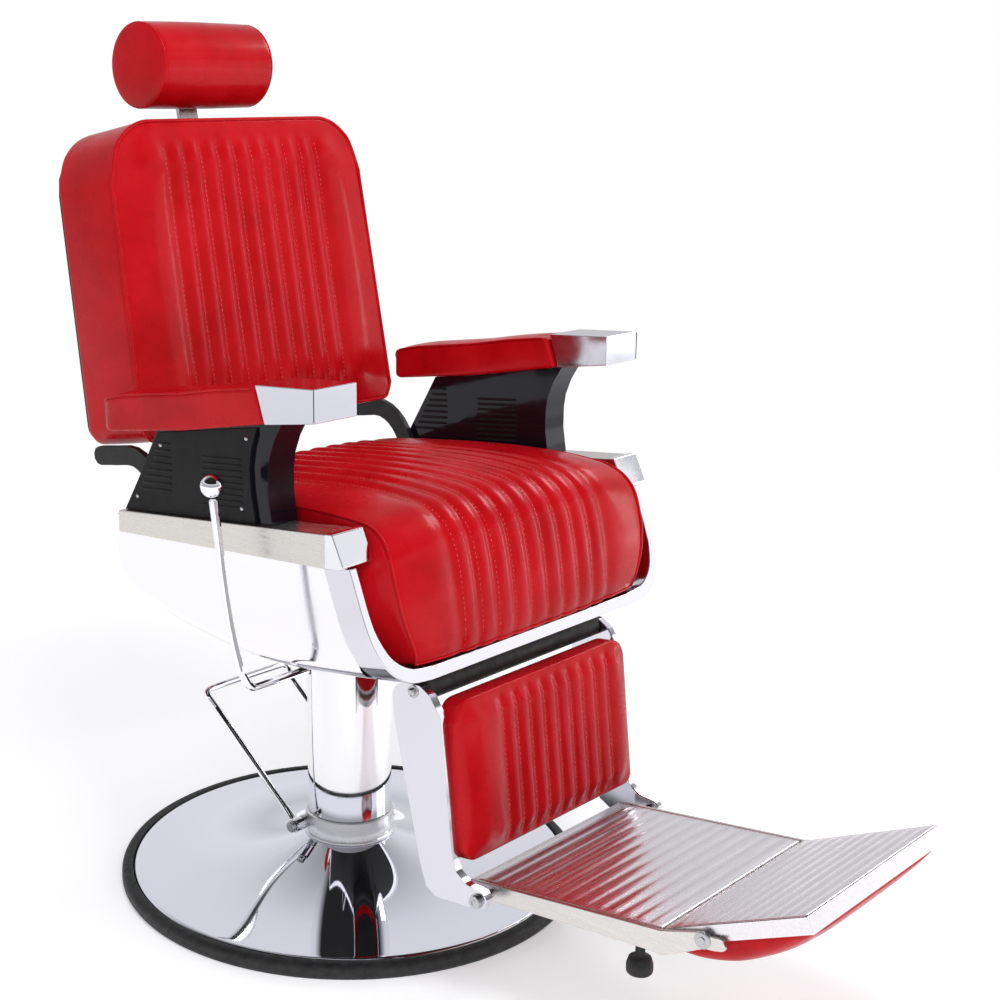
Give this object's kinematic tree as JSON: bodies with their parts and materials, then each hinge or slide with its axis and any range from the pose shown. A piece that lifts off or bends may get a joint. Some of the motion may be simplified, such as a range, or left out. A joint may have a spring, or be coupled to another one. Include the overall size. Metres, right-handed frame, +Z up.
{
  "type": "hydraulic barber chair",
  "caption": "Reclining barber chair on a hydraulic column and round base, with channelled seat and back, headrest, armrests, coupled leg rest and flip-over footboard.",
  "frame": {"origin": "on the floor, under the middle of the round base", "axes": "+Z up, the front of the chair (footboard) faces -Y, the sitter's left is +X"},
  "size_m": [0.7087, 1.2253, 1.2391],
  "materials": {
    "chrome": "polished mirror chrome",
    "brushed": "brushed, warm grey",
    "iron": "painted casting",
    "steel": "plain machined",
    "black_steel": "satin black powder coat",
    "gloss_black": "gloss black",
    "matt_black": "ribbed, satin black",
    "rubber": "matt black",
    "red_vinyl": "glossy red vinyl, sewn channels",
    "board": "plain plywood",
    "tread": "satin, ribbed across"
  },
  "bodies": {
    "base": {"base_weight": "iron", "base_cover": "chrome", "base_rim": "rubber", "pump_cylinder": "steel", "pump_collar": "chrome"},
    "pedal": {"pump_pedal": "chrome"},
    "lift": {"piston_ram": "chrome", "column_sleeve": "chrome", "thrust_bearing": "steel"},
    "seat": {"seat_hub": "iron", "seat_shell": "chrome", "front_trim": "chrome", "rail_left": "brushed", "rail_right": "brushed", "rail_cap_left": "chrome", "rail_cap_right": "chrome", "seat_board": "board", "seat_cushion": "red_vinyl", "arm_pad_left": "red_vinyl", "arm_pad_right": "red_vinyl", "arm_cap_left": "chrome", "arm_cap_right": "chrome", "arm_support_left": "gloss_black", "arm_support_right": "gloss_black", "side_cover_left": "matt_black", "side_cover_right": "matt_black", "cover_screw_left_1": "steel", "cover_screw_left_2": "steel", "cover_screw_left_3": "steel", "cover_screw_left_4": "steel", "cover_screw_right_1": "steel", "cover_screw_right_2": "steel", "cover_screw_right_3": "steel", "cover_screw_right_4": "steel", "back_shaft": "steel", "leg_bracket": "black_steel", "strut_anchor": "black_steel"},
    "strut_tube": {"strut_cylinder": "black_steel"},
    "strut_piston": {"strut_rod": "chrome"},
    "back": {"back_board": "gloss_black", "back_cushion": "red_vinyl", "back_arm_left": "black_steel", "back_arm_right": "black_steel", "headrest_socket": "steel"},
    "headrest": {"headrest_post": "steel", "headrest_cushion": "red_vinyl"},
    "lever": {"recline_lever": "chrome", "lever_knob": "chrome"},
    "drag_link": {"drag_link": "black_steel"},
    "legrest": {"leg_arm_left": "chrome", "leg_arm_right": "chrome", "leg_shaft": "steel", "foot_shaft": "steel", "calf_board": "black_steel", "calf_pad": "red_vinyl"},
    "footplate": {"foot_plate": "tread", "foot_bumper_left": "rubber", "foot_bumper_right": "rubber"},
    "flip": {"flip_plate": "tread", "flip_pad": "red_vinyl"}
  },
  "joints": [
    {"name": "pedal_press", "type": "hinge", "parent": "base", "child": "pedal", "pos_m": [0, 0.03, 0.083], "axis": [-1, 0, 0], "range_deg": [0, 26]},
    {"name": "column_lift", "type": "slide", "parent": "base", "child": "lift", "axis": [0, 0, 1], "range_m": [0, 0.15]},
    {"name": "seat_swivel", "type": "hinge", "parent": "lift", "child": "seat", "pos_m": [0, 0, 0.4155], "axis": [0, 0, 1], "continuous": true},
    {"name": "back_recline", "type": "hinge", "parent": "seat", "child": "back", "pos_m": [0, 0.09, 0.53], "axis": [-1, 0, 0], "range_deg": [0, 40]},
    {"name": "leg_lift", "type": "hinge", "parent": "seat", "child": "legrest", "pos_m": [0, -0.3, 0.408], "axis": [-1, 0, 0], "range_deg": [0, 42]},
    {"name": "link_swing", "type": "hinge", "parent": "back", "child": "drag_link", "pos_m": [0, 0.11893, 0.49553], "axis": [-1, 0, 0], "range_deg": [-42, 0]},
    {"name": "strut_swing", "type": "hinge", "parent": "seat", "child": "strut_tube", "pos_m": [-0.205, -0.13, 0.47], "axis": [1, 0, 0], "range_deg": [-1, 0]},
    {"name": "strut_slide", "type": "slide", "parent": "strut_tube", "child": "strut_piston", "axis": [0, -0.9847, -0.1741], "range_m": [0, 0.017]},
    {"name": "headrest_height", "type": "slide", "parent": "back", "child": "headrest", "axis": [0, 0.1788, 0.9839], "range_m": [0, 0.06]},
    {"name": "lever_tilt", "type": "hinge", "parent": "seat", "child": "lever", "pos_m": [-0.3, -0.15, 0.411], "axis": [-1, 0, 0], "range_deg": [0, 14]},
    {"name": "footboard_fold", "type": "hinge", "parent": "legrest", "child": "footplate", "pos_m": [0, -0.409, 0.1575], "axis": [-1, 0, 0], "range_deg": [0, 40]},
    {"name": "flip_over", "type": "hinge", "parent": "footplate", "child": "flip", "pos_m": [0, -0.716, 0.208], "axis": [-1, 0, 0], "range_deg": [0, 145]}
  ],
  "couplings": [
    {"joint": "leg_lift", "follows": "back_recline", "ratio": 1},
    {"joint": "link_swing", "follows": "back_recline", "ratio": -1.0028},
    {"joint": "strut_swing", "follows": "back_recline", "ratio": -0.024},
    {"joint": "strut_slide", "follows": "back_recline", "m_per_rad": 0.023}
  ]
}
